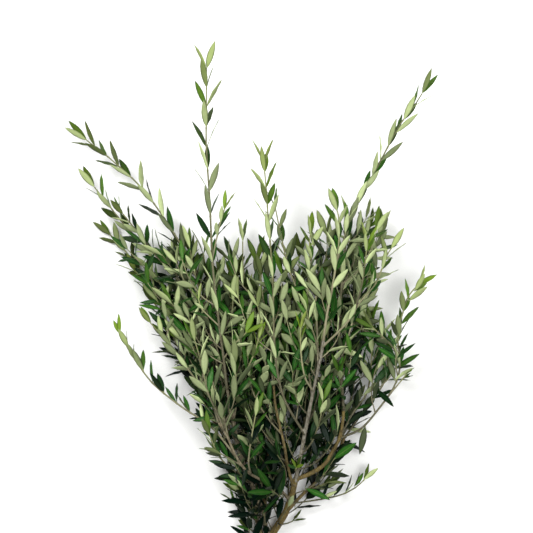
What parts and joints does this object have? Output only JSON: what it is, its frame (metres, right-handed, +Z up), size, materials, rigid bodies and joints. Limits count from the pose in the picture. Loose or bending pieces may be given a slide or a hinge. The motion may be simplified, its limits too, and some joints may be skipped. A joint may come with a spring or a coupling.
{
  "type": "olive branch",
  "caption": "Cut olive branch lying down: a forked woody bough whose many slender shoots carry pairs of narrow, silvery green leaves.",
  "frame": {"origin": "on the trunk's underside near the cut end, in the middle of the small flat that it rests on", "axes": "+Y along the branch from the cut end to the tips, +X across it, +Z up from the surface it lies on"},
  "size_m": [0.5607, 0.8256, 0.162],
  "materials": {
    "bark": "matt grey-brown bark, paler and greyer on the thinner limbs",
    "leaf": "leathery leaves, dark and faintly glossy above, matt silvery sage below"
  },
  "bodies": {
    "root": {"bough": "bark", "tall_shoot": "leaf", "far_right_shoot": "leaf", "far_left_shoot": "leaf", "centre_shoot": "leaf", "low_left_outer_shoot": "leaf", "low_left_upper_shoot": "leaf", "far_left_second_shoot": "leaf", "far_left_third_shoot": "leaf", "right_outer_shoot": "leaf", "low_right_shoot": "leaf", "crown_centre_shoot": "leaf", "crown_right_shoot": "leaf", "left_front_shoot": "leaf", "tall_side_right_shoot": "leaf", "tall_side_left_shoot": "leaf", "tall_side_low_shoot": "leaf", "bright_front_shoot": "leaf", "left_bright_shoot": "leaf", "fork_left_shoot": "leaf", "low_centre_bright_shoot": "leaf", "centre_side_shoot": "leaf", "crown_left_shoot": "leaf", "crown_right_side_shoot": "leaf", "crown_centre_side_shoot": "leaf", "far_right_side_shoot": "leaf", "right_outer_low_shoot": "leaf", "right_outer_left_shoot": "leaf", "far_left_second_side_shoot": "leaf", "far_left_third_side_shoot": "leaf", "fork_front_shoot": "leaf", "grey_fork_front_shoot": "leaf", "left_limb_front_shoot": "leaf", "centre_mid_shoot": "leaf", "centre_mid_left_shoot": "leaf", "centre_mid_right_shoot": "leaf", "centre_deep_shoot": "leaf", "centre_deep_right_shoot": "leaf", "centre_thin_shoot": "leaf", "left_inner_shoot": "leaf", "left_middle_shoot": "leaf", "left_upper_shoot": "leaf", "left_behind_shoot": "leaf", "right_inner_shoot": "leaf", "right_middle_shoot": "leaf", "left_low_shoot": "leaf", "left_low_inner_shoot": "leaf", "centre_low_shoot": "leaf", "centre_low_right_shoot": "leaf", "centre_low_left_shoot": "leaf", "right_low_shoot": "leaf", "right_low_centre_shoot": "leaf", "right_low_inner_shoot": "leaf", "right_low_outer_shoot": "leaf", "butt_left_shoot": "leaf", "butt_low_left_shoot": "leaf", "butt_lowest_shoot": "leaf", "butt_right_shoot": "leaf", "low_right_second_shoot": "leaf", "low_left_thin_shoot": "leaf"}
  },
  "joints": []
}
